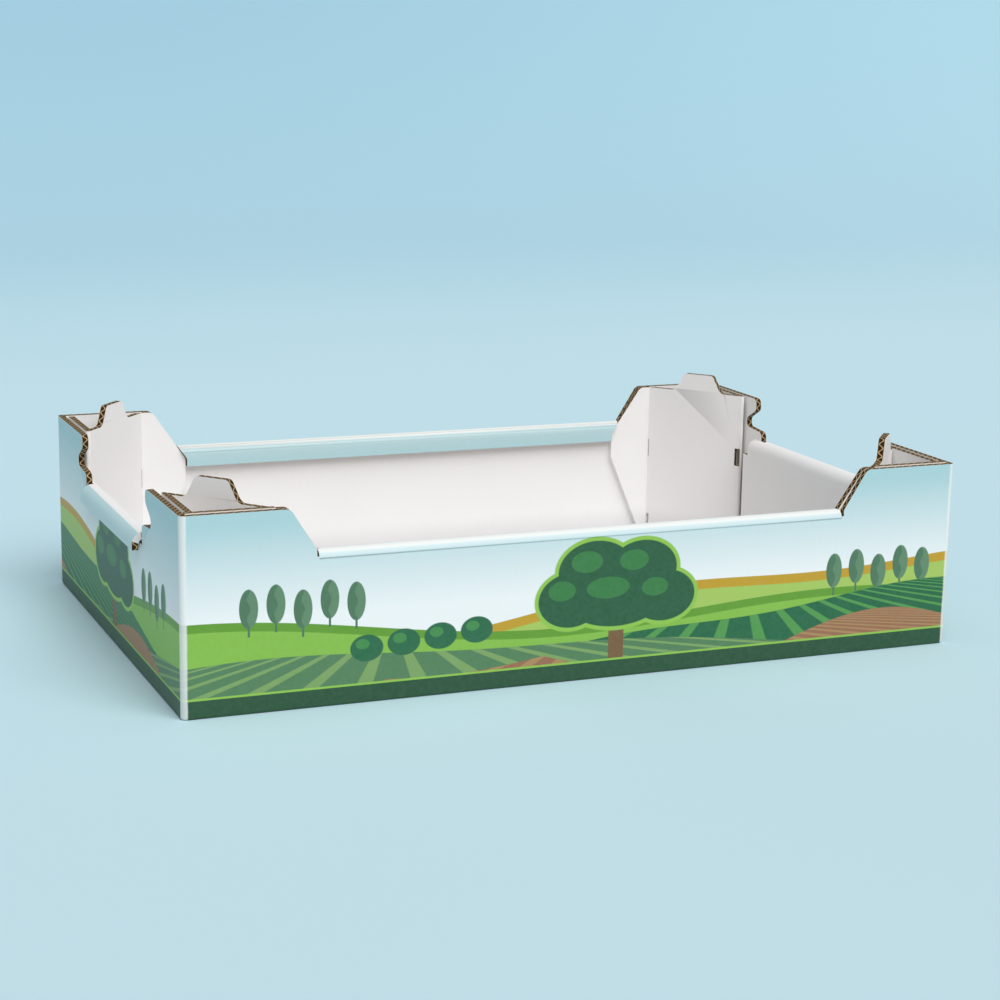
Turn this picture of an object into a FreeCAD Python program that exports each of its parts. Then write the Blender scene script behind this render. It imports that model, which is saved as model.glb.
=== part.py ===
import FreeCAD, Part
import math
import os
import re
import Sketcher
from FreeCAD import Placement, Rotation, Vector

# Cardboard tray box for produce: one die-cut, folded and glued sheet of corrugated board, so one solid.
# The frame has its origin under the middle of the tray, +X along the long walls and +Z up.
# A reach is measured from a corner of the tray along a wall, and a height from the underside.

sizes = {
    # overall
    "tray_length": 597.0,
    "tray_width": 397.0,
    "post_height": 140.0,
    "board": 5.0,
    "fold_radius": 4.0,
    "base_radius": 2.0,
    # long walls: raised posts, sloping shoulders, relief slits and the lip that is folded inwards
    "shoulder_reach": 76.0,
    "shoulder_foot_reach": 94.5,
    "shoulder_radius": 6.0,
    "slit_width": 1.6,
    "slit_depth": 4.5,
    "side_top": 110.5,
    "side_lip_low": 93.5,
    "side_lip_gap": 3.0,
    "side_lip_clearance": 0.8,
    # end walls: outer ply with a lobed edge, inner ply and the lip that rolls outwards
    "ply_gap": 2.0,
    "upper_lobe_reach": 95.5,
    "upper_lobe_low": 130.0,
    "waist_reach": 80.0,
    "waist_high": 121.5,
    "waist_low": 114.0,
    "lower_lobe_reach": 107.0,
    "lower_lobe_high": 112.0,
    "lobe_radius": 5.0,
    "waist_radius": 4.0,
    "end_top": 105.0,
    "end_ply_reach": 96.0,
    "end_wing_reach": 88.5,
    "end_wing_high": 91.0,
    "end_lip_reach": 113.0,
    "end_lip_low": 92.0,
    "end_lip_clearance": 1.0,
    # corner posts: a ply along each wall, a diagonal panel with a stacking tab, and its flap on the long wall
    "side_crease_reach": 67.0,
    "end_crease_reach": 82.0,
    "crease_radius": 2.0,
    "wall_ply_rise": 0.7,
    "tab_height": 15.5,
    "tab_top_width": 27.0,
    "tab_base_width": 43.0,
    "tab_top_radius": 4.0,
    "tab_foot_radius": 7.0,
    "flap_reach": 103.5,
    "flap_edge_high": 100.0,
    "flap_edge_low": 79.0,
    "flap_radius": 9.0,
    # slots at the creases, and the stacking slots in the bottom that take the tabs of a tray below
    "slot_low": 77.5,
    "slot_high": 93.0,
    "slot_width": 5.0,
    "slot_inset": 4.7,
    "slot_depth": 8.0,
    "slit_low": 14.5,
    "slit_high": 24.5,
    "crease_slit_width": 0.8,
    "low_slit_width": 2.4,
    "crease_slit_inset": 0.4,
    "stack_clearance": 1.5,
}

# Lengths worked out from the sizes, as expressions.
half_length = "(tray_length / 2)"
half_width = "(tray_width / 2)"
end_inner_face = f"({half_length} - 2 * board - ply_gap)"
end_roll_inner = "((board + ply_gap + end_lip_clearance) / 2)"
end_roll_outer = f"({end_roll_inner} + board)"
end_roll_axis = f"({end_inner_face} + {end_roll_outer})"
end_axis_height = f"(end_top - {end_roll_outer})"
side_roll_inner = "(side_lip_gap / 2)"
side_roll_outer = f"({side_roll_inner} + board)"
side_roll_axis = f"({half_width} - {side_roll_outer})"
side_axis_height = f"(side_top - {side_roll_outer})"
side_lip_end = f"({half_length} - shoulder_foot_reach - slit_width)"
panel_along = "(side_crease_reach - board - ply_gap)"
panel_across = "(end_crease_reach - 2 * board)"
panel_length = f"sqrt({panel_along} ^ 2 + {panel_across} ^ 2)"
panel_root = f"(board * {panel_length} / {panel_across})"
slot_length = "(tab_base_width + 2 * stack_clearance)"
slot_span = "(board + 2 * stack_clearance)"
notch_height = "(tab_height + stack_clearance)"
flap_slope = "((flap_reach - shoulder_reach) / (post_height - flap_edge_high))"
flap_foot_reach = f"(shoulder_reach + (post_height - side_top) * {flap_slope})"

doc = FreeCAD.newDocument("tray_box")
sheet = doc.addObject("Spreadsheet::Sheet", "sizes")
for row, (alias, size) in enumerate(sizes.items(), start=1):
    sheet.set(f"A{row}", alias.replace("_", " "))
    sheet.set(f"B{row}", str(size))
    sheet.setAlias(f"B{row}", alias)
doc.recompute()


def onSheet(expression):
    """The expression with each size's name as a cell of the sheet."""
    return re.sub(r"[a-z_]+", lambda word: "sizes." + word.group() if word.group() in sizes else word.group(),
                  str(expression))


def value(expression):
    return float(sheet.evalExpression(onSheet(expression)))


def bind(item, **properties):
    """Tie properties of an object to the sheet."""
    for name, expression in properties.items():
        item.setExpression(name, onSheet(expression))
    return item


def place(item, x, y, z, turn=None):
    """Tie the place of an object to the sheet, with a fixed turn."""
    item.Placement = Placement(Vector(), turn or Rotation())
    for axis, expression in zip("xyz", (x, y, z)):
        item.setExpression(f"Placement.Base.{axis}", onSheet(expression))
    return item


def box(name, x, y, z, length, width, height):
    item = doc.addObject("Part::Box", name)
    bind(item, Length=length, Width=width, Height=height)
    return place(item, x, y, z)


def join(kind, name, **links):
    """A boolean, mirror or compound of earlier objects."""
    item = doc.addObject("Part::" + kind, name)
    for link, target in links.items():
        setattr(item, link, target)
    return item


def mirrored(source, name, normal):
    return join("Mirroring", name, Source=source, Normal=normal)


def addLoop(sketch, corners):
    """Draw one closed loop of lines from (x, y, radius) corners; a radius above zero rounds the corner."""
    points = [Vector(value(x), value(y), 0) for x, y, radius in corners]
    radii = [value(radius) for x, y, radius in corners]
    count = len(corners)
    starts, ends, arcs = [], [], []
    for i, point in enumerate(points):
        inward = (point - points[i - 1]).normalize()
        outward = (points[(i + 1) % count] - point).normalize()
        turn = math.atan2(inward.cross(outward).z, inward.dot(outward))
        cut = radii[i] * math.tan(abs(turn) / 2)
        ends.append(point - inward * cut)
        starts.append(point + outward * cut)
        side = Vector(-inward.y, inward.x, 0) * math.copysign(radii[i], turn)
        arcs.append((ends[i] + side, turn))
    lines = [sketch.addGeometry(Part.LineSegment(starts[i], ends[(i + 1) % count])) for i in range(count)]
    for i, (x, y, radius) in enumerate(corners):
        before, after = lines[i - 1], lines[i]
        if radii[i] > 0:
            centre, turn = arcs[i]
            first, last = (ends[i], starts[i]) if turn > 0 else (starts[i], ends[i])
            angles = [math.atan2(point.y - centre.y, point.x - centre.x) for point in (first, last)]
            circle = Part.Circle(centre, Vector(0, 0, 1), radii[i])
            arc = sketch.addGeometry(Part.ArcOfCircle(circle, *angles))
            corner = sketch.addGeometry(Part.Point(points[i]), True)
            arriving, leaving = (1, 2) if turn > 0 else (2, 1)
            sketch.addConstraint(Sketcher.Constraint("PointOnObject", corner, 1, before))
            sketch.addConstraint(Sketcher.Constraint("PointOnObject", corner, 1, after))
            sketch.addConstraint(Sketcher.Constraint("Tangent", before, 2, arc, arriving))
            sketch.addConstraint(Sketcher.Constraint("Tangent", after, 1, arc, leaving))
            bound = sketch.addConstraint(Sketcher.Constraint("Radius", arc, radii[i]))
            sketch.setExpression(f"Constraints[{bound}]", onSheet(radius))
        else:
            corner = after
            sketch.addConstraint(Sketcher.Constraint("Coincident", before, 2, after, 1))
        for kind, place_along, expression in (("DistanceX", points[i].x, x), ("DistanceY", points[i].y, y)):
            bound = sketch.addConstraint(Sketcher.Constraint(kind, -1, 1, corner, 1, place_along))
            sketch.setExpression(f"Constraints[{bound}]", onSheet(expression))


def outline(name, turn, *loops):
    """A sketch of closed loops on a plane through the origin; the first loop is outside the others."""
    sketch = doc.addObject("Sketcher::SketchObject", name)
    sketch.Placement = Placement(Vector(), turn)
    for corners in loops:
        addLoop(sketch, corners)
    return sketch


def plate(name, sketch, forward=0, backward=0, symmetric=None):
    """A sketch pushed out along its normal."""
    item = join("Extrusion", name, Base=sketch, DirMode="Normal", Solid=True,
                FaceMakerClass="Part::FaceMakerBullseye")
    if symmetric:
        item.Symmetric = True
        return bind(item, LengthFwd=symmetric)
    return bind(item, LengthFwd=forward, LengthRev=backward)


def bothSides(half):
    """The corners of a half outline, from the middle outwards, and their mirror images."""
    return half + [(f"-({x})", y, radius) for x, y, radius in reversed(half)]


facing_side = Rotation(Vector(1, 0, 0), 90)
facing_end = Rotation(Vector(1, 1, 1), 120)


# Outer sheet: bottom and four walls with rounded folds, cut to the outlines of the long and the end walls.
def outerSheet():
    block = box("block", f"-{half_length}", f"-{half_width}", 0, "tray_length", "tray_width", "post_height")
    doc.recompute()
    folds = []
    for number, edge in enumerate(block.Shape.Edges, start=1):
        if abs(edge.tangentAt(edge.FirstParameter).z) > 0.5:
            folds.append((number, sizes["fold_radius"], sizes["fold_radius"]))
        elif edge.CenterOfMass.z < 1:
            folds.append((number, sizes["base_radius"], sizes["base_radius"]))
    rounded = join("Fillet", "rounded_block", Base=block, Edges=folds)
    hollow = box("hollow", f"board - {half_length}", f"board - {half_width}", "board",
                 "tray_length - 2 * board", "tray_width - 2 * board", "post_height")
    shell = join("Cut", "shell", Base=rounded, Tool=hollow)

    foot = f"{half_length} - shoulder_foot_reach"
    side = outline("side_outline", facing_side, bothSides([
        (side_lip_end, side_axis_height, 0),
        (side_lip_end, "side_top - slit_depth", 0),
        (foot, "side_top - slit_depth", 0),
        (foot, "side_top", 0),
        (f"{half_length} - shoulder_reach", "post_height", "shoulder_radius"),
        (half_length, "post_height", 0),
        (half_length, 0, 0)])[::-1])
    end = outline("end_outline", facing_end, bothSides([
        (f"{half_width} - lower_lobe_reach", f"{end_axis_height} + end_lip_clearance", 0),
        (f"{half_width} - lower_lobe_reach", "lower_lobe_high", "lobe_radius"),
        (f"{half_width} - waist_reach", "waist_low", "waist_radius"),
        (f"{half_width} - waist_reach", "waist_high", "waist_radius"),
        (f"{half_width} - upper_lobe_reach", "upper_lobe_low", "lobe_radius"),
        (f"{half_width} - upper_lobe_reach", "post_height", "lobe_radius"),
        (half_width, "post_height", 0),
        (half_width, 0, 0)])[::-1])
    side_cut = plate("side_silhouette", side, symmetric="2 * tray_width")
    end_cut = plate("end_silhouette", end, symmetric="2 * tray_length")
    return join("MultiCommon", "outer_sheet", Shapes=[shell, side_cut, end_cut])


# Rolled lip: half a tube over the top of a wall, and the strip that hangs from its far side.
def roll(name, turn, axis_place, inner, outer, span):
    tubes = []
    for part, radius in (("outside", outer), ("inside", inner)):
        tube = doc.addObject("Part::Cylinder", f"{name}_{part}")
        bind(tube, Radius=radius, Height=span, Angle=180)
        tubes.append(place(tube, *axis_place, turn))
    return join("Cut", name, Base=tubes[0], Tool=tubes[1])


def endLip():
    """The inner ply of one end wall, its low wings beside the posts, and its lip over the outer ply."""
    edge = f"({half_width} - end_ply_reach)"
    ply = box("end_ply", end_inner_face, f"-{edge}", "board",
              "board", f"2 * {edge}", f"{end_axis_height} - board")
    wing_edge = f"({half_width} - end_wing_reach)"
    wings = box("end_wings", end_inner_face, f"-{wing_edge}", "board",
                "board", f"2 * {wing_edge}", "end_wing_high - board")
    bend = roll("end_bend", facing_side, (end_roll_axis, edge, end_axis_height), end_roll_inner,
                end_roll_outer, f"2 * {edge}")
    trims = []
    for side, start in (("near", f"-{edge}"), ("far", f"{half_width} - end_lip_reach")):
        trims.append(box(f"end_trim_{side}", f"{half_length} - board", start, end_axis_height,
                         f"2 * {end_roll_outer}", "end_lip_reach - end_ply_reach", end_roll_outer))
    trimmed = join("Cut", "end_bend_trimmed", Base=bend, Tool=join("Compound", "end_trims", Links=trims))
    strip = box("end_lip_strip", f"{half_length} + end_lip_clearance", f"end_lip_reach - {half_width}",
                "end_lip_low", "board", "tray_width - 2 * end_lip_reach", f"{end_axis_height} - end_lip_low")
    return join("MultiFuse", "end_lip", Shapes=[ply, wings, trimmed, strip])


def sideLip():
    """The lip of one long wall, folded inwards and hanging inside it, its ends cut clear of the flaps."""
    start, span = f"-{side_lip_end}", f"2 * {side_lip_end}"
    bend = roll("side_bend", facing_end, (start, side_roll_axis, side_axis_height), side_roll_inner,
                side_roll_outer, span)
    strip = box("side_lip_strip", start, f"{half_width} - 2 * {side_roll_outer}", "side_lip_low",
                span, "board", f"{side_axis_height} - side_lip_low")
    whole = join("MultiFuse", "whole_side_lip", Shapes=[bend, strip])
    below = "side_lip_low - side_lip_clearance"
    corner = plate("lip_corner", outline("lip_corner_outline", facing_side, [
        (f"{half_length} - flap_reach - side_lip_clearance", below, 0),
        (f"{half_length} - shoulder_reach", below, 0),
        (f"{half_length} - shoulder_reach", "side_top", 0),
        (f"{half_length} - {flap_foot_reach} - side_lip_clearance", "side_top", 0),
        (f"{half_length} - flap_reach - side_lip_clearance", "flap_edge_high", 0)]),
        forward="2 * board + side_lip_gap")
    place(corner, 0, f"{half_width} - board", 0)
    other_corner = mirrored(corner, "lip_corner_mirror", Vector(1, 0, 0))
    corners = join("Compound", "lip_corners", Links=[corner, other_corner])
    return join("Cut", "side_lip", Base=whole, Tool=corners)


def rectangle(left, right, low, high):
    return [(left, low, 0), (right, low, 0), (right, high, 0), (left, high, 0)]


# Corner post at +X +Y: the diagonal panel closes a triangular column with the two walls.
def onPanel(item):
    """Stand an object on the diagonal: its x runs along the panel from the long wall's crease."""
    x, y = f"{half_length} - side_crease_reach", f"{half_width} - 2 * board"
    turn = f"-atan({panel_across} / {panel_along})"
    upright = 90 if item.TypeId == "Sketcher::SketchObject" else 0
    item.setExpression("Placement", onSheet(
        f"create(<<placement>>; create(<<vector>>; {x}; {y}; 0); "
        f"create(<<rotation>>; {turn}; 0; {upright}))"))
    return item


def cornerPost():
    """The column ply, the diagonal panel with its tab, and the two plies on the long wall."""
    middle = f"{panel_length} / 2"
    panel = onPanel(outline("panel_outline", Rotation(), [
        (f"-{panel_root}", "board", 0),
        (f"{middle} - {slot_length} / 2", "board", 0),
        (f"{middle} - {slot_length} / 2", notch_height, 0),
        (f"{middle} + {slot_length} / 2", notch_height, 0),
        (f"{middle} + {slot_length} / 2", "board", 0),
        (panel_length, "board", 0),
        (panel_length, "post_height", 0),
        (f"{middle} + tab_base_width / 2", "post_height", "tab_foot_radius"),
        (f"{middle} + tab_top_width / 2", "post_height + tab_height", "tab_top_radius"),
        (f"{middle} - tab_top_width / 2", "post_height + tab_height", "tab_top_radius"),
        (f"{middle} - tab_base_width / 2", "post_height", "tab_foot_radius"),
        (f"-{panel_root}", "post_height", 0)],
        rectangle("crease_slit_inset", "crease_slit_inset + crease_slit_width", "slot_low", "slot_high"),
        rectangle("crease_slit_inset", "crease_slit_inset + low_slit_width", "slit_low", "slit_high")))
    diagonal = plate("diagonal_panel", panel, backward="board")
    column_face = f"{half_length} - board - ply_gap"
    column = box("column_ply", f"{column_face} - board", f"{half_width} - end_crease_reach", "board",
                 "board", "end_crease_reach - board", "post_height - board")
    side_root = f"{half_length} - side_crease_reach - board * {panel_along} / {panel_across}"
    plan = plate("post_plan", outline("post_plan_outline", Rotation(), [
        (column_face, f"{half_width} - board", 0),
        (side_root, f"{half_width} - board", 0),
        (column_face, f"{half_width} - end_crease_reach", "crease_radius")]), forward="2 * post_height")
    folded_post = join("MultiCommon", "folded_post", Shapes=[
        join("MultiFuse", "sharp_post", Shapes=[diagonal, column]), plan])
    flap = plate("wall_flap", outline("flap_outline", facing_side, [
        (f"{half_length} - side_crease_reach", "board", 0),
        (f"{half_length} - side_crease_reach", "post_height", 0),
        (f"{half_length} - shoulder_reach", "post_height", "shoulder_radius"),
        (f"{half_length} - flap_reach", "flap_edge_high", "flap_radius"),
        (f"{half_length} - flap_reach", "flap_edge_low", 0),
        (f"{half_length} - side_crease_reach - board", "board", 0)]), forward="board")
    place(flap, 0, f"{half_width} - board", 0)
    wall_ply = box("wall_ply", f"{half_length} - side_crease_reach", f"{half_width} - 2 * board", "board",
                   "side_crease_reach - board", "board", "post_height + wall_ply_rise - board")
    return join("MultiFuse", "corner_post", Shapes=[folded_post, flap, wall_ply])


def panelBox(name, along, aside, up, length, width, height):
    """A box that follows the panel: along it from the long wall's crease, and aside towards the corner."""
    item = doc.addObject("Part::Box", name)
    bind(item, Length=length, Width=width, Height=height)
    cosine, sine = f"({panel_along} / {panel_length})", f"({panel_across} / {panel_length})"
    x = f"{half_length} - side_crease_reach + ({along}) * {cosine} + ({aside}) * {sine}"
    y = f"{half_width} - 2 * board - ({along}) * {sine} + ({aside}) * {cosine}"
    turn = f"-atan({panel_across} / {panel_along})"
    item.setExpression("Placement", onSheet(
        f"create(<<placement>>; create(<<vector>>; {x}; {y}; {up}); "
        f"create(<<rotation>>; {turn}; 0; 0))"))
    return item


def postSlots():
    """What is cut out of one post and the bottom under it: the slot at the nose, and the stacking slot."""
    nose_slot = panelBox("nose_slot", f"{panel_length} - slot_inset - slot_width", "-board", "slot_low",
                         "slot_width", "board + slot_depth", "slot_high - slot_low")
    stacking_slot = panelBox("stacking_slot", f"{panel_length} / 2 - {slot_length} / 2", "-stack_clearance",
                             "-board", slot_length, slot_span, "3 * board")
    return join("Compound", "post_slots", Links=[nose_slot, stacking_slot])


def fourfold(item):
    """An object of the +X +Y corner in all four corners."""
    across = mirrored(item, item.Name + "_mirror", Vector(0, 1, 0))
    pair = join("Compound", item.Name + "_pair", Links=[item, across])
    lengthwise = mirrored(pair, pair.Name + "_mirror", Vector(1, 0, 0))
    return join("Compound", item.Name + "s", Links=[pair, lengthwise])


outer = outerSheet()
end_lip = endLip()
side_lip = sideLip()
posts = fourfold(cornerPost())
slots = fourfold(postSlots())
folded = join("MultiFuse", "folded_sheet", Shapes=[
    outer, posts, end_lip, mirrored(end_lip, "end_lip_mirror", Vector(1, 0, 0)),
    side_lip, mirrored(side_lip, "side_lip_mirror", Vector(0, 1, 0))])
tray = join("Cut", "tray", Base=folded, Tool=slots, Refine=True)
tray.Label = "tray"
doc.recompute()

failed = [item.Name for item in doc.Objects if "Invalid" in item.State or "Error" in item.State]
if failed:
    raise RuntimeError("not built: " + ", ".join(failed))
if tray.Shape.isNull() or not tray.Shape.isValid() or len(tray.Shape.Solids) != 1:
    raise RuntimeError("tray is not one valid solid")

os.makedirs("parts", exist_ok=True)
tray.Shape.exportStep(f"parts/{tray.Label}.step")
bounds = tray.Shape.BoundBox
print(f"tray {bounds.XLength:.1f} x {bounds.YLength:.1f} x {bounds.ZLength:.1f} mm, "
      f"{tray.Shape.Volume / 1e6:.3f} litres of board, {len(tray.Shape.Faces)} faces")
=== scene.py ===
import bmesh
import bpy
import math
from mathutils import Matrix, Vector


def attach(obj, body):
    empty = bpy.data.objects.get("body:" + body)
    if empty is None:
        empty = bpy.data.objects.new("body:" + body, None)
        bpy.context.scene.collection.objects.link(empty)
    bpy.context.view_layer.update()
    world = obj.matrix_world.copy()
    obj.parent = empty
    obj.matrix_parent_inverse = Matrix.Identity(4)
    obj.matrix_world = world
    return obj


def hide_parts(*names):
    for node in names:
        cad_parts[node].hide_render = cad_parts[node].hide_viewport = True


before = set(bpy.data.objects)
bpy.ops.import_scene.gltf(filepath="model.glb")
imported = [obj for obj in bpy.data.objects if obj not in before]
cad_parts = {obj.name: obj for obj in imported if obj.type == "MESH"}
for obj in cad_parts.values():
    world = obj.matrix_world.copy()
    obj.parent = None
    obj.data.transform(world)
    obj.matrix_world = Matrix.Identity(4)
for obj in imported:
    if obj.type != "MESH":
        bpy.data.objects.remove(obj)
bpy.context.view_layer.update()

mm = 0.001

# where the plies of the folded sheet lie, in mm, as part.py makes them
tray = {
    "length": 597.0,
    "width": 397.0,
    "board": 5.0,
    "foldRadius": 4.0,
    "plyGap": 2.0,
    "lipClearance": 1.0,
    "endTop": 105.0,
    "endRollRadius": 9.0,
    "sideTop": 110.5,
    "sideRollRadius": 6.5,
    "sideCrease": 67.0,
    "endCrease": 82.0,
    "lipLow": 93.5,
    "slotLow": 77.5,
    "slotHigh": 93.0,
    "slotWidth": 5.0,
    "slotInset": 4.7,
    "slotDepth": 8.0,
    "sideLipHalf": 202.4,
    "endLipHalf": 102.5,
}
halfLength = tray["length"] / 2
halfWidth = tray["width"] / 2
board = tray["board"]

# the lips' rolls: the middle of each, outwards from the tray's middle and up
sideAxis = (halfWidth - tray["sideRollRadius"], tray["sideTop"] - tray["sideRollRadius"])
endAxis = (halfLength + board + tray["lipClearance"] - tray["endRollRadius"],
           tray["endTop"] - tray["endRollRadius"])
# how far past a roll's end a face's middle may lie and still be taken for it
lipSlack = 0.5


# small helpers

def makeActive(piece):
    bpy.ops.object.select_all(action="DESELECT")
    piece.select_set(True)
    bpy.context.view_layer.objects.active = piece


def copyOfNode(nodeName, pieceName):
    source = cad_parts[nodeName]
    piece = bpy.data.objects.new(pieceName, source.data.copy())
    bpy.context.scene.collection.objects.link(piece)
    makeActive(piece)
    bpy.ops.object.mode_set(mode="EDIT")
    bpy.ops.mesh.select_all(action="SELECT")
    bpy.ops.mesh.remove_doubles(threshold=0.01 * mm)
    bpy.ops.object.mode_set(mode="OBJECT")
    return piece


def hexColour(text):
    # sRGB hex to the linear colour that a shader takes
    channels = [int(text[i:i + 2], 16) / 255 for i in (1, 3, 5)]
    return tuple(c / 12.92 if c <= 0.04045 else ((c + 0.055) / 1.055) ** 2.4 for c in channels) + (1.0,)


def addNode(tree, kind, links=None, **settings):
    # links: input name or number -> value, or another node's output
    node = tree.nodes.new(kind)
    for name, setting in settings.items():
        setattr(node, name, setting)
    for place, given in (links or {}).items():
        if isinstance(given, bpy.types.NodeSocket):
            tree.links.new(given, node.inputs[place])
        else:
            node.inputs[place].default_value = given
    return node


def calc(tree, operation, first, second=0.0, third=0.0):
    return addNode(tree, "ShaderNodeMath", {0: first, 1: second, 2: third}, operation=operation).outputs[0]


def softStep(tree, given, low, high):
    # 0 below low, 1 above high
    return addNode(tree, "ShaderNodeMapRange", {"Value": given, "From Min": low, "From Max": high},
                   interpolation_type="SMOOTHSTEP").outputs["Result"]


def mixColour(tree, mask, lower, upper):
    node = addNode(tree, "ShaderNodeMix", data_type="RGBA")
    for place, given in (("Factor_Float", mask), ("A_Color", lower), ("B_Color", upper)):
        socket = next(s for s in node.inputs if s.identifier == place)
        if isinstance(given, bpy.types.NodeSocket):
            tree.links.new(given, socket)
        else:
            socket.default_value = given
    return next(s for s in node.outputs if s.identifier == "Result_Color")


def newMaterial(name, roughness, specular=0.4):
    material = bpy.data.materials.new(name)
    material.use_nodes = True
    tree = material.node_tree
    shader = tree.nodes["Principled BSDF"]
    shader.inputs["Roughness"].default_value = roughness
    shader.inputs["Specular IOR Level"].default_value = specular
    return material, tree, shader


def paperFibres(tree, scale=900.0, detail=6.0):
    place = addNode(tree, "ShaderNodeTexCoord").outputs["Object"]
    noise = addNode(tree, "ShaderNodeTexNoise", {"Vector": place, "Scale": scale, "Detail": detail})
    return noise.outputs["Fac"]


def objectPlace(tree):
    # x, y and z in metres on the piece itself
    place = addNode(tree, "ShaderNodeTexCoord").outputs["Object"]
    return addNode(tree, "ShaderNodeSeparateXYZ", {0: place}).outputs


def washboard(tree, pitch):
    # the faint ribs that the fluting presses into a liner
    place = objectPlace(tree)
    along = calc(tree, "ADD", place[0], place[1])
    return calc(tree, "SINE", calc(tree, "MULTIPLY", along, math.tau / pitch))


def addRelief(tree, shader, height, distance, strength=1.0):
    bump = addNode(tree, "ShaderNodeBump", {"Height": height, "Distance": distance, "Strength": strength})
    tree.links.new(bump.outputs[0], shader.inputs["Normal"])


# the liners of the board: white inside, printed outside
liner = {
    "white": "#f8f8f7",
    "whiteShade": "#f4f4f4",
    # painted shade low on the walls: its tone, and the heights it fades over
    "lowShadeTone": "#dededf",
    "lowShadeFrom": 6.0 * mm,
    "lowShadeTo": 34.0 * mm,
    "flutePitch": 6.6 * mm,
    "ribHeight": 0.02 * mm,
    "fibreHeight": 0.03 * mm,
}


def addLinerRelief(tree, shader):
    # ribs and fibres too fine to see one by one, which keep a flat wall from looking like plastic
    ribs = calc(tree, "MULTIPLY", washboard(tree, liner["flutePitch"]), liner["ribHeight"] / mm)
    fibres = calc(tree, "MULTIPLY", paperFibres(tree), liner["fibreHeight"] / mm)
    addRelief(tree, shader, calc(tree, "ADD", ribs, fibres), mm)


def whiteLinerMaterial():
    # matt coated paper: an even white, with painted shade that makes it a little greyer low down, near the
    # bottom of the walls
    material, tree, shader = newMaterial("white clay-coated liner", 0.62)
    cloud = addNode(tree, "ShaderNodeTexNoise", {
        "Vector": addNode(tree, "ShaderNodeTexCoord").outputs["Object"], "Scale": 14.0, "Detail": 3.0})
    colour = mixColour(tree, cloud.outputs["Fac"], hexColour(liner["white"]), hexColour(liner["whiteShade"]))
    # painted shade: greyer towards the bottom, where the walls meet the tray's floor
    height = softStep(tree, objectPlace(tree)[2], liner["lowShadeFrom"], liner["lowShadeTo"])
    colour = mixColour(tree, calc(tree, "SUBTRACT", 1.0, height), colour, hexColour(liner["lowShadeTone"]))
    tree.links.new(colour, shader.inputs["Base Color"])
    addLinerRelief(tree, shader)
    return material


# the generic print: hills and fields under a pale sky, heights and lengths in mm round the tray
printed = {
    "turn": 990.57,
    "skyTop": "#b2d8de",
    "skyLow": "#f8fbfc",
    "ochre": "#c99f16",
    "paleGreen": "#abcc5d",
    "brightGreen": "#629e20",
    "midGreen": "#89c144",
    "fieldGreen": "#06663c",
    "fieldStripe": "#4f9a48",
    "greyGreen": "#518155",
    "greyStripe": "#7fa560",
    "earth": "#9d6b4c",
    "earthStripe": "#b08a58",
    "lime": "#93c94a",
    "base": "#114d2b",
    "darkTree": "#145a35",
    "darkTreeLight": "#2f7d3c",
    "bush": "#11683f",
    "bushLight": "#3c8c46",
    "poplar": "#5f8a68",
    "poplarShade": "#4a7757",
    "trunk": "#7a5a34",
    # pale ink where it prints thin, also the painted highlight on the folds
    "paleInkAndHighlight": "#f6f8f6",
    "skyFrom": 66.0,
    "skyTo": 132.0,
    # lines across the print: a height, then swings as (height, waves in a turn, start)
    "ochreHill": (58.0, (14.0, 1, -0.1), (5.0, 3, 0.9)),
    "ochreDepth": 7.0,
    "brightHill": (50.0, (9.0, 2, 5.35), (7.0, 1, 3.46)),
    "brightDepth": 6.0,
    "fieldLine": (35.0, (16.0, 1, -0.55), (3.0, 4, 1.0)),
    "greyLine": (23.0, (13.0, 1, 2.75), (3.0, 3, 0.3)),
    "earthLine": (12.0, (18.0, 3, -3.0), (3.0, 1, 0.0)),
    # furrows: the place they run to, its height, their spacing and their share of it
    "fieldFurrows": (120.0, 74.0, 0.62, 0.3),
    "greyFurrows": (-150.0, 58.0, 0.9, 0.3),
    "earthFurrows": (12.0, 50.0, 0.7, 0.4),
    # rows of tall trees: middle of the row, how many, foot, height
    "poplarRows": ((-214.0, 5, 60.0, 27.0), (236.0, 5, 52.0, 26.0), (-372.0, 4, 55.0, 26.0)),
    "poplarSpacing": 19.0,
    "poplarWide": 6.6,
    # the broad trees' crown: shift along, middle height, half width, half height of each oval
    "crownParts": ((-36.0, 60.0, 25.0, 20.0), (37.0, 58.0, 25.0, 19.0), (-17.0, 80.0, 29.0, 22.0),
                   (20.0, 79.0, 27.0, 21.0), (0.0, 60.0, 40.0, 22.0)),
    "broadTrees": (20.0, 495.28),
    "crownRim": 3.0,
    "baseTop": 13.0,
    "limeTop": 14.5,
}


def waveLine(tree, around, base, *swings):
    # the height of a hill or field over the way round the tray
    height = base
    for swing, waves, start in swings:
        angle = calc(tree, "MULTIPLY_ADD", around, math.tau * waves / printed["turn"], start)
        height = calc(tree, "MULTIPLY_ADD", calc(tree, "SINE", angle), swing, height)
    return height


def under(tree, up, line, soft=0.25):
    return softStep(tree, calc(tree, "SUBTRACT", line, up), -soft, soft)


def nearTo(tree, around, centre):
    # signed way round the tray from a place on it
    half = printed["turn"] / 2
    return calc(tree, "WRAP", calc(tree, "SUBTRACT", around, centre), half, -half)


def oval(tree, across, up, middle, wide, high, soft=0.04):
    x = calc(tree, "DIVIDE", across, wide)
    z = calc(tree, "DIVIDE", calc(tree, "SUBTRACT", up, middle), high)
    reach = calc(tree, "SQRT", calc(tree, "ADD", calc(tree, "MULTIPLY", x, x), calc(tree, "MULTIPLY", z, z)))
    return calc(tree, "SUBTRACT", 1.0, softStep(tree, reach, 1 - soft, 1 + soft))


def allOf(tree, *masks):
    result = masks[0]
    for mask in masks[1:]:
        result = calc(tree, "MULTIPLY", result, mask)
    return result


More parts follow.
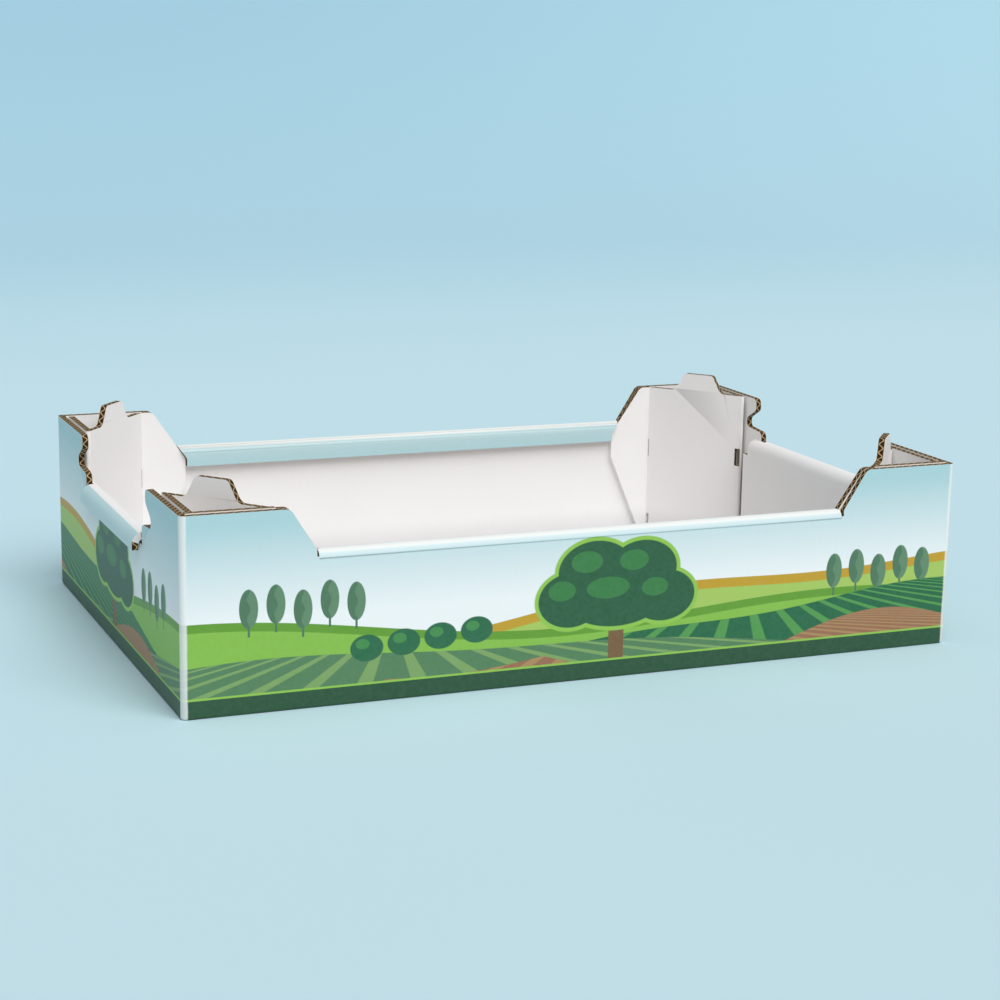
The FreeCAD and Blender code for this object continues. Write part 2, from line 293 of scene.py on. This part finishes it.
def inRow(tree, around, centre, count, spacing):
    # which of a row of trees is near, how far off its middle it is, and whether it is one of them
    cell = calc(tree, "MULTIPLY_ADD", nearTo(tree, around, centre), 1 / spacing, count / 2)
    index = calc(tree, "FLOOR", cell)
    local = calc(tree, "MULTIPLY", calc(tree, "SUBTRACT", calc(tree, "SUBTRACT", cell, index), 0.5), spacing)
    inside = allOf(tree, softStep(tree, cell, 0.0, 0.02),
                   calc(tree, "SUBTRACT", 1.0, softStep(tree, cell, count - 0.02, count)))
    return index, local, inside


def furrows(tree, around, up, centre, horizon, spacing, share=0.5):
    # stripes that run towards a far point above the field
    x = calc(tree, "DIVIDE", nearTo(tree, around, centre),
             calc(tree, "MAXIMUM", calc(tree, "SUBTRACT", horizon, up), 2.0))
    part = calc(tree, "FRACT", calc(tree, "DIVIDE", x, spacing))
    away = calc(tree, "ABSOLUTE", calc(tree, "SUBTRACT", part, 0.5))
    return calc(tree, "SUBTRACT", 1.0, softStep(tree, away, share / 2 - 0.02, share / 2 + 0.02))


def paint(tree, colour, mask, tone):
    return mixColour(tree, mask, colour, hexColour(printed[tone]))


def skyAndHills(tree, around, up):
    sky = addNode(tree, "ShaderNodeMapRange",
                  {"Value": up, "From Min": printed["skyFrom"], "From Max": printed["skyTo"]})
    colour = mixColour(tree, sky.outputs["Result"], hexColour(printed["skyLow"]), hexColour(printed["skyTop"]))
    for hill, depth, edgeTone, tone in (("ochreHill", "ochreDepth", "ochre", "paleGreen"),
                                        ("brightHill", "brightDepth", "brightGreen", "midGreen")):
        line = waveLine(tree, around, *printed[hill])
        colour = paint(tree, colour, under(tree, up, line), edgeTone)
        colour = paint(tree, colour, under(tree, up, calc(tree, "SUBTRACT", line, printed[depth])), tone)
    return colour


def poplarRows(tree, colour, around, up):
    # tall narrow trees in rows, each a pointed oval with a shaded half
    for centre, count, foot, high in printed["poplarRows"]:
        index, local, inside = inRow(tree, around, centre, count, printed["poplarSpacing"])
        swing = calc(tree, "SINE", calc(tree, "MULTIPLY", index, 2.4))
        raised = calc(tree, "SUBTRACT", up, calc(tree, "MULTIPLY", swing, 3.0))
        fromFoot = calc(tree, "ABSOLUTE", calc(tree, "SUBTRACT", raised, foot))
        stem = allOf(tree, inside, under(tree, calc(tree, "ABSOLUTE", local), 0.8, 0.15),
                     under(tree, fromFoot, 6.0, 0.2))
        colour = paint(tree, colour, stem, "poplarShade")
        crown = oval(tree, local, raised, foot + high / 2, printed["poplarWide"], high / 2)
        colour = paint(tree, colour, allOf(tree, inside, crown), "poplar")
        ripple = calc(tree, "MULTIPLY", calc(tree, "SINE", calc(tree, "MULTIPLY", raised, 0.45)), 1.2)
        shaded = allOf(tree, inside, crown, under(tree, local, ripple))
        colour = paint(tree, colour, shaded, "poplarShade")
    return colour


def fieldsInFront(tree, colour, around, up):
    # fields with furrows that meet far away
    fieldLine = waveLine(tree, around, *printed["fieldLine"])
    field = under(tree, up, fieldLine)
    grey = under(tree, up, waveLine(tree, around, *printed["greyLine"]))
    earthLine = waveLine(tree, around, *printed["earthLine"])
    earth = allOf(tree, under(tree, up, earthLine), under(tree, up, calc(tree, "ADD", fieldLine, -3.0)))
    for mask, tone, rows, rowTone in ((field, "fieldGreen", "fieldFurrows", "fieldStripe"),
                                      (grey, "greyGreen", "greyFurrows", "greyStripe"),
                                      (earth, "earth", "earthFurrows", "earthStripe")):
        colour = paint(tree, colour, mask, tone)
        stripes = furrows(tree, around, up, *printed[rows])
        colour = paint(tree, colour, allOf(tree, mask, stripes), rowTone)
    return colour


def bushRow(tree, colour, around, up):
    # round bushes along the edge of the field
    index, local, inside = inRow(tree, around, -128.0, 4, 27.0)
    raised = calc(tree, "SUBTRACT", up, calc(tree, "MULTIPLY", index, 2.0))
    colour = paint(tree, colour, allOf(tree, inside, oval(tree, local, raised, 39.0, 12.0, 9.5)), "bush")
    lit = oval(tree, calc(tree, "ADD", local, 3.0), raised, 42.0, 5.0, 3.6)
    return paint(tree, colour, allOf(tree, inside, lit), "bushLight")


def broadTrees(tree, colour, around, up):
    # one broad tree at the middle of each wall, with a pale edge round its crown
    for place in printed["broadTrees"]:
        across = nearTo(tree, around, place)
        trunk = allOf(tree, under(tree, calc(tree, "ABSOLUTE", across), 6.0), under(tree, up, 60.0))
        colour = paint(tree, colour, trunk, "trunk")
        for tone, rim in (("lime", printed["crownRim"]), ("darkTree", 0.0)):
            for shift, middle, wide, high in printed["crownParts"]:
                local = calc(tree, "SUBTRACT", across, shift)
                colour = paint(tree, colour, oval(tree, local, up, middle, wide + rim, high + rim, 0.02), tone)
        for shift, middle, wide, high in printed["crownParts"]:
            local = calc(tree, "SUBTRACT", across, shift - 7.0)
            lit = oval(tree, local, up, middle + 7.0, wide * 0.42, high * 0.36, 0.03)
            colour = paint(tree, colour, lit, "darkTreeLight")
    return colour


def inkWearAndFoldHighlights(tree, colour):
    # ink density varies a little; the corner folds and the long walls' rolled tops get a painted highlight,
    # pale as if worn
    colour = paint(tree, colour, calc(tree, "MULTIPLY", paperFibres(tree, 350.0, 4.0), 0.05), "paleInkAndHighlight")
    place = objectPlace(tree)
    fromEnd = calc(tree, "SUBTRACT", halfLength * mm, calc(tree, "ABSOLUTE", place[0]))
    fromSide = calc(tree, "SUBTRACT", halfWidth * mm, calc(tree, "ABSOLUTE", place[1]))
    # painted highlight down the rounded corner folds, with a ragged edge like wear
    raggedEdge = calc(tree, "MULTIPLY", calc(tree, "SUBTRACT", paperFibres(tree, 60.0), 0.5), 1.2 * mm)
    reach = calc(tree, "ADD", calc(tree, "MAXIMUM", fromEnd, fromSide), raggedEdge)
    wearAndHighlight = calc(tree, "SUBTRACT", 1.0, softStep(tree, reach, 3.4 * mm, 4.8 * mm))
    colour = paint(tree, colour, calc(tree, "MULTIPLY", wearAndHighlight, 0.78), "paleInkAndHighlight")
    # painted highlight along the top of each long wall's rolled lip
    lipTop = softStep(tree, place[2], (tray["sideTop"] - 3.2) * mm, (tray["sideTop"] - 1.2) * mm)
    inTurn = under(tree, calc(tree, "ABSOLUTE", place[0]), tray["sideLipHalf"] * mm, 0.1 * mm)
    isWall = under(tree, 160.0 * mm, calc(tree, "ABSOLUTE", place[1]), 0.1 * mm)
    return paint(tree, colour, allOf(tree, lipTop, inTurn, isWall, 0.8), "paleInkAndHighlight")


def printedMaterial():
    # ink on coated paper: bright fields of colour with a slight sheen, and a painted highlight where the sheet
    # is folded, pale as if rubbed
    material, tree, shader = newMaterial("flexographic print on white liner", 0.45)
    spot = addNode(tree, "ShaderNodeUVMap", uv_map="printMap").outputs[0]
    parts = addNode(tree, "ShaderNodeSeparateXYZ", {0: spot})
    around, up = parts.outputs[0], parts.outputs[1]
    colour = skyAndHills(tree, around, up)
    for addMotif in (poplarRows, fieldsInFront, bushRow, broadTrees):
        colour = addMotif(tree, colour, around, up)
    colour = paint(tree, colour, under(tree, up, printed["limeTop"]), "lime")
    colour = paint(tree, colour, under(tree, up, printed["baseTop"]), "base")
    colour = inkWearAndFoldHighlights(tree, colour)
    tree.links.new(colour, shader.inputs["Base Color"])
    addLinerRelief(tree, shader)
    return material


# cut edges: brown liners with the fluted paper between them
cut = {
    "linerTone": "#45351f",
    "linerPale": "#66512f",
    "coatTone": "#e6dac0",
    "fluteTone": "#c8a878",
    # painted shade in the flute's open channels
    "fluteHollowShade": "#37291a",
    "kraft": "#a98457",
    "kraftPale": "#bd9868",
    "wave": 0.30,
}


def cutEdgeMaterial():
    # raw brown edge: the dark liners and the pale wave of the flute between them draw the tray's outline; the
    # hollows beside the wave are painted shade
    material, tree, shader = newMaterial("cut kraft board", 0.85, 0.2)
    spot = addNode(tree, "ShaderNodeUVMap", uv_map="edgeMap").outputs[0]
    parts = addNode(tree, "ShaderNodeSeparateXYZ", {0: spot})
    along, across = parts.outputs[0], parts.outputs[1]
    jitter = calc(tree, "MULTIPLY", paperFibres(tree, 120.0), 0.12)
    crest = calc(tree, "SINE", calc(tree, "MULTIPLY", along, math.tau / (liner["flutePitch"] / mm)))
    middle = calc(tree, "MULTIPLY_ADD", crest, cut["wave"], calc(tree, "ADD", 0.44, jitter))
    away = calc(tree, "ABSOLUTE", calc(tree, "SUBTRACT", across, middle))
    flute = calc(tree, "SUBTRACT", 1.0, softStep(tree, away, 0.09, 0.16))
    fromMiddle = calc(tree, "ABSOLUTE", calc(tree, "SUBTRACT", across, 0.5))
    rim = softStep(tree, fromMiddle, 0.35, 0.39)
    coat = softStep(tree, fromMiddle, 0.455, 0.475)
    # painted shade: the open channels between the flute's wave are painted dark
    colour = mixColour(tree, flute, hexColour(cut["fluteHollowShade"]), hexColour(cut["fluteTone"]))
    fibres = paperFibres(tree, 500.0)
    rimTone = mixColour(tree, fibres, hexColour(cut["linerTone"]), hexColour(cut["linerPale"]))
    colour = mixColour(tree, rim, colour, rimTone)
    colour = mixColour(tree, coat, colour, hexColour(cut["coatTone"]))
    tree.links.new(colour, shader.inputs["Base Color"])
    addRelief(tree, shader, calc(tree, "MAXIMUM", flute, rim), 0.8 * mm)
    return material


def plainKraftMaterial():
    # unprinted brown paper under the tray, dull and slightly mottled
    material, tree, shader = newMaterial("kraft underside", 0.8, 0.25)
    tone = mixColour(tree, paperFibres(tree, 220.0), hexColour(cut["kraft"]), hexColour(cut["kraftPale"]))
    tree.links.new(tone, shader.inputs["Base Color"])
    addRelief(tree, shader, paperFibres(tree), 0.05 * mm)
    return material


# the folded sheet: which face is which, in the +X +Y quarter that the others mirror

panelStart = Vector((halfLength - tray["sideCrease"], halfWidth - 2 * board, 0))
panelEnd = Vector((halfLength - board - tray["plyGap"], halfWidth - tray["endCrease"], 0))
panelAlong = (panelEnd - panelStart).normalized()
panelAcross = Vector((-panelAlong.y, panelAlong.x, 0))
upright = Vector((0, 0, 1))
alongX = Vector((1, 0, 0))
alongY = Vector((0, 1, 0))

# each ply: the direction through it, and where its inner face lies along that direction
plies = {
    "diagonal": (panelAcross, panelStart.dot(panelAcross)),
    "longWall": (alongY, halfWidth - board),
    "wallFlap": (alongY, halfWidth - 2 * board),
    "sideLip": (alongY, halfWidth - 2 * tray["sideRollRadius"]),
    "endOuter": (alongX, halfLength - board),
    "endInner": (alongX, halfLength - 2 * board - tray["plyGap"]),
    "endLip": (alongX, halfLength + tray["lipClearance"]),
    "bottom": (upright, 0.0),
}


def quarter(place):
    # a point or direction of any corner, seen as if it were the +X +Y one
    return Vector((abs(place.x), abs(place.y), place.z))


def inNoseSlot(corner):
    # the slot through the diagonal next to its crease at the end wall
    fromStart = corner - panelStart
    along, aside = fromStart.dot(panelAlong), fromStart.dot(panelAcross)
    slotEnd = (panelEnd - panelStart).length - tray["slotInset"]
    return (slotEnd - tray["slotWidth"] - 0.1 < along < slotEnd + 0.1
            and -0.3 < aside < tray["slotDepth"] + 0.1
            and tray["slotLow"] - 0.1 < corner.z < tray["slotHigh"] + 0.1)


def onTube(corner, middle, height, flat, radius):
    return abs(math.hypot(flat(corner) - middle, corner.z - height) - radius) < 0.25


def kindOfFace(corners, normal, centre):
    # corners, centre: in mm, mirrored to the +X +Y quarter; normal: mirrored with them
    lowest = [min(c[i] for c in corners) for i in range(3)]
    highest = [max(c[i] for c in corners) for i in range(3)]
    onSideLip = centre.x < tray["sideLipHalf"] + lipSlack
    onEndLip = centre.y < tray["endLipHalf"] + lipSlack
    if abs(normal.x) < 0.3 and onSideLip and lowest[2] > sideAxis[1] - 0.1:
        if all(onTube(c, *sideAxis, lambda p: p.y, tray["sideRollRadius"]) for c in corners):
            return "printed", None
        if all(onTube(c, *sideAxis, lambda p: p.y, tray["sideRollRadius"] - board) for c in corners):
            return "white", None
    if abs(normal.y) < 0.3 and onEndLip and lowest[2] > endAxis[1] - 0.1:
        if all(onTube(c, *endAxis, lambda p: p.x, tray["endRollRadius"]) for c in corners):
            return ("printed" if centre.x > endAxis[0] + 3.0 else "white"), None
        if all(onTube(c, *endAxis, lambda p: p.x, tray["endRollRadius"] - board) for c in corners):
            return "white", None
    outward = max(normal.x, normal.y)
    if normal.z < -0.95 and highest[2] < 0.1:
        return "underside", None
    onSide = lowest[1] > halfWidth - tray["foldRadius"] - 0.1
    onEnd = lowest[0] > halfLength - tray["foldRadius"] - 0.1 and highest[0] < halfLength + 0.1
    facesOut = normal.y > 0.3 and abs(normal.z) < 0.3 and abs(normal.x) < 0.3
    if facesOut and lowest[1] > halfWidth - 0.1:
        return "printed", None
    if onEnd and normal.x > 0.9 and lowest[0] > halfLength - 0.1:
        return "printed", None
    if onSide and onEnd and outward > 0.5 and abs(normal.z) < 0.3:
        return "printed", None
    if highest[2] < 2.1 and normal.z < 0.1 and (onSide or onEnd) and outward > 0.05:
        return "printed", None
    if normal.x > 0.9 and lowest[0] > halfLength + board + tray["lipClearance"] - 0.1:
        return "printed", None
    lipFace = halfWidth - 2 * tray["sideRollRadius"]
    if normal.y < -0.9 and abs(centre.y - lipFace) < 0.1 and onSideLip:
        return "printed", None
    if all(inNoseSlot(c) for c in corners):
        return "cutEdge", "diagonal"
    tall = highest[2] - lowest[2] > 60
    if tall and abs(normal.z) < 0.3 and centre.x > panelEnd.x - 8 and abs(centre.y - panelEnd.y) < 6:
        return "white", None
    inFlap = lowest[1] > halfWidth - 2 * board - 0.15 and highest[1] < halfWidth - board + 0.15
    if inFlap and abs(normal.y) < 0.35 and lowest[2] < tray["lipLow"] and centre.x < panelStart.x - 4:
        return "white", None
    for ply, (through, low) in plies.items():
        if abs(normal.dot(through)) > 0.35:
            continue
        depths = [c.dot(through) - low for c in corners]
        if min(depths) < -0.15 or max(depths) > board + 0.15:
            continue
        if ply == "diagonal":
            along = (centre - panelStart).dot(panelAlong)
            if along < -8 or along > 92:
                continue
        return "cutEdge", ply
    # the wall and the flap glued to it are cut as one
    if abs(normal.y) < 0.35 and lowest[1] > halfWidth - 2 * board - 0.15 and centre.z > 20:
        return "cutEdge", "longWall"
    return "white", None


def wayRound(place, corner, faceNormal):
    # mm round the outside of the tray from the middle of its front wall, and the height
    flatLength = halfLength - tray["foldRadius"]
    flatWidth = halfWidth - tray["foldRadius"]
    arc = tray["foldRadius"] * math.pi / 2
    sideX = math.copysign(1, place.x)
    mirrored = quarter(place)
    inFold = corner.x > flatLength and corner.y > flatWidth and corner.x < halfLength + 0.1
    if inFold:
        angle = math.atan2(mirrored.y - flatWidth, mirrored.x - flatLength)
        share = angle / (math.pi / 2)
        if place.y < 0:
            way = flatLength + arc * (1 - share)
        else:
            way = flatLength + arc + 2 * flatWidth + arc * share
        return sideX * way
    if faceNormal.x > 0.7 or corner.x > halfLength + 0.1:
        return sideX * (flatLength + arc + place.y + flatWidth)
    if place.y < 0:
        return place.x
    return sideX * (flatLength + 2 * arc + 2 * flatWidth + flatLength - abs(place.x))


def heightInPrint(place, corner, faceNormal):
    # the height on the flat sheet, so that the sky goes on over the folded lips
    onLip = (corner.x < tray["sideLipHalf"] + lipSlack and abs(faceNormal.x) < 0.3
             and corner.y > halfWidth - 2 * tray["sideRollRadius"] - 0.2)
    if onLip and place.z > sideAxis[1]:
        angle = math.atan2(place.z - sideAxis[1], abs(place.y) - sideAxis[0])
        return sideAxis[1] + tray["sideRollRadius"] * angle
    if onLip and faceNormal.y < -0.9:
        return 2 * sideAxis[1] + tray["sideRollRadius"] * math.pi - place.z
    onEndRoll = (corner.y < tray["endLipHalf"] + lipSlack and corner.x > halfLength - 20
                 and corner.z > endAxis[1])
    if corner.x > halfLength + 0.1 or onEndRoll:
        return place.z + 2 * tray["endRollRadius"]
    return place.z


def dressBoard(piece):
    materials = ["white", "printed", "cutEdge", "underside"]
    makers = [whiteLinerMaterial, printedMaterial, cutEdgeMaterial, plainKraftMaterial]
    piece.data.materials.clear()
    for make in makers:
        piece.data.materials.append(make())
    mesh = bmesh.new()
    mesh.from_mesh(piece.data)
    printMap = mesh.loops.layers.uv.new("printMap")
    edgeMap = mesh.loops.layers.uv.new("edgeMap")
    mesh.normal_update()
    plyOf = {}
    for face in mesh.faces:
        signs = face.calc_center_median()
        corners = [quarter(v.co) / mm for v in face.verts]
        normal = Vector((math.copysign(1, signs.x) * face.normal.x, math.copysign(1, signs.y) * face.normal.y,
                         face.normal.z))
        centre = quarter(signs) / mm
        kind, ply = kindOfFace(corners, normal, centre)
        face.material_index = materials.index(kind)
        # flat faces keep their own normals, so that only the rolls and folds are shaded round
        face.smooth = all(abs(normal.dot(way)) < 0.9995 for way in (alongX, alongY, upright, panelAcross))
        if ply:
            plyOf[face] = ply
        for loop in face.loops:
            place = loop.vert.co / mm
            loop[printMap].uv = (wayRound(place, centre, normal), heightInPrint(place, centre, normal))
    mapCutEdges(mesh, plyOf, edgeMap)
    for edge in mesh.edges:
        edge.smooth = edge.calc_face_angle(math.pi) < math.radians(28)
    mesh.to_mesh(piece.data)
    mesh.free()


def throughPly(face, ply):
    # the direction through the ply at this face, and the ply's inner side along it
    direction, low = plies[ply]
    centre = face.calc_center_median()
    turned = Vector((math.copysign(direction.x, direction.x * centre.x),
                     math.copysign(direction.y, direction.y * centre.y), direction.z))
    return turned, low


def mapCutEdges(mesh, plyOf, edgeMap):
    # walk along each cut edge in the mesh's own order, so that the flutes run on round its corners
    waiting = dict.fromkeys(plyOf)
    while waiting:
        first = next(iter(waiting))
        waiting.pop(first)
        starts = {first: 0.0}
        queue = [first]
        while queue:
            face = queue.pop()
            through, low = throughPly(face, plyOf[face])
            run = face.normal.cross(through).normalized()
            for loop in face.loops:
                place = loop.vert.co / mm
                loop[edgeMap].uv = (place.dot(run) + starts[face], (place.dot(through) - low) / board)
            for edge in face.edges:
                for other in edge.link_faces:
                    if other not in waiting or plyOf[other] != plyOf[face]:
                        continue
                    if other.normal.dot(face.normal) < 0.3:
                        continue
                    middle = (edge.verts[0].co + edge.verts[1].co) / 2 / mm
                    otherThrough = throughPly(other, plyOf[other])[0]
                    otherRun = other.normal.cross(otherThrough).normalized()
                    starts[other] = middle.dot(run) + starts[face] - middle.dot(otherRun)
                    waiting.pop(other)
                    queue.append(other)


def makeBoard():
    piece = copyOfNode("tray", "foldedBoard")
    dressBoard(piece)
    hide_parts("tray")
    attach(piece, "root")
    print("board dressed:", len(piece.data.polygons), "faces")
    return piece


# the studio: pale blue sweep, soft light from the upper front, camera where the photograph was taken
studio = {
    "floorTone": "#c8e6f0",
    "floorShade": "#c3e3ee",
    # painted shade for the sweep's far part and, darker, its left side
    "farShadeTone": "#aad1e0",
    "leftShadeTone": "#9ac3d5",
    "airTone": "#fff0e8",
    "air": 0.34,
    "key": 2.35,
    "keyFrom": (0.08, -0.58, 0.80),
    "softness": 55,
    "cameraPlace": (-653.6, -1605.8, 465.5),
    "cameraYaw": 22.463,
    "cameraPitch": -12.194,
    "cameraRoll": 1.019,
    "lens": 81.05,
}


def makeSweep():
    bpy.ops.object.select_all(action="DESELECT")
    bpy.ops.mesh.primitive_plane_add(size=1.0, location=(0, 0, 0))
    sweep = bpy.context.active_object
    sweep.name = "paperSweep"
    sweep.data.transform(Matrix.Diagonal((14.0, 10.0, 1.0, 1.0)))
    bpy.ops.object.mode_set(mode="EDIT")
    bpy.ops.mesh.select_all(action="DESELECT")
    bpy.ops.object.mode_set(mode="OBJECT")
    for edge in sweep.data.edges:
        edge.select = all(sweep.data.vertices[v].co.y > 4.9 for v in edge.vertices)
    bpy.ops.object.mode_set(mode="EDIT")
    bpy.ops.mesh.select_mode(type="EDGE")
    bpy.ops.mesh.extrude_region_move(TRANSFORM_OT_translate={"value": (0, 0, 6.0)})
    bpy.ops.object.mode_set(mode="OBJECT")
    bend = sweep.modifiers.new("curve", "BEVEL")
    bend.width = 2.4
    bend.segments = 24
    bpy.ops.object.modifier_apply(modifier="curve")
    bpy.ops.object.shade_smooth()
    material, tree, shader = newMaterial("pale blue paper sweep", 0.9, 0.15)
    grain = addNode(tree, "ShaderNodeTexNoise", {
        "Vector": addNode(tree, "ShaderNodeTexCoord").outputs["Object"], "Scale": 1.1, "Detail": 2.0})
    floorTone = mixColour(tree, grain.outputs["Fac"],
                          hexColour(studio["floorTone"]), hexColour(studio["floorShade"]))
    # painted shade: the sweep darkens further back, and most towards the left, where less light falls
    place = objectPlace(tree)
    farShadeTone = mixColour(tree, softStep(tree, place[0], 0.3, 4.2),
                         hexColour(studio["leftShadeTone"]), hexColour(studio["farShadeTone"]))
    tone = mixColour(tree, softStep(tree, place[1], 0.6, 4.6), floorTone, farShadeTone)
    tree.links.new(tone, shader.inputs["Base Color"])
    sweep.data.materials.append(material)


def makeCamera():
    bpy.ops.object.camera_add()
    camera = bpy.context.active_object
    camera.data.lens = studio["lens"]
    camera.data.sensor_width = 36.0
    camera.data.clip_end = 60.0
    turn = (Matrix.Rotation(math.radians(-studio["cameraYaw"]), 4, "Z")
            @ Matrix.Rotation(math.radians(90 + studio["cameraPitch"]), 4, "X")
            @ Matrix.Rotation(math.radians(studio["cameraRoll"]), 4, "Z"))
    camera.matrix_world = Matrix.Translation(Vector(studio["cameraPlace"]) * mm) @ turn
    bpy.context.scene.camera = camera


def lightScene():
    bpy.context.scene.view_settings.view_transform = "Standard"
    world = bpy.data.worlds.new("studio air")
    bpy.context.scene.world = world
    world.use_nodes = True
    world.node_tree.nodes["Background"].inputs["Color"].default_value = hexColour(studio["airTone"])
    world.node_tree.nodes["Background"].inputs["Strength"].default_value = studio["air"]
    aim = Vector(studio["keyFrom"])
    bpy.ops.object.light_add(type="SUN", location=aim * 4)
    key = bpy.context.active_object
    key.name = "keyLight"
    key.data.energy = studio["key"]
    key.data.angle = math.radians(studio["softness"])
    key.rotation_euler = aim.to_track_quat("Z", "Y").to_euler()


makeBoard()
makeSweep()
makeCamera()
lightScene()
print("studio lit")
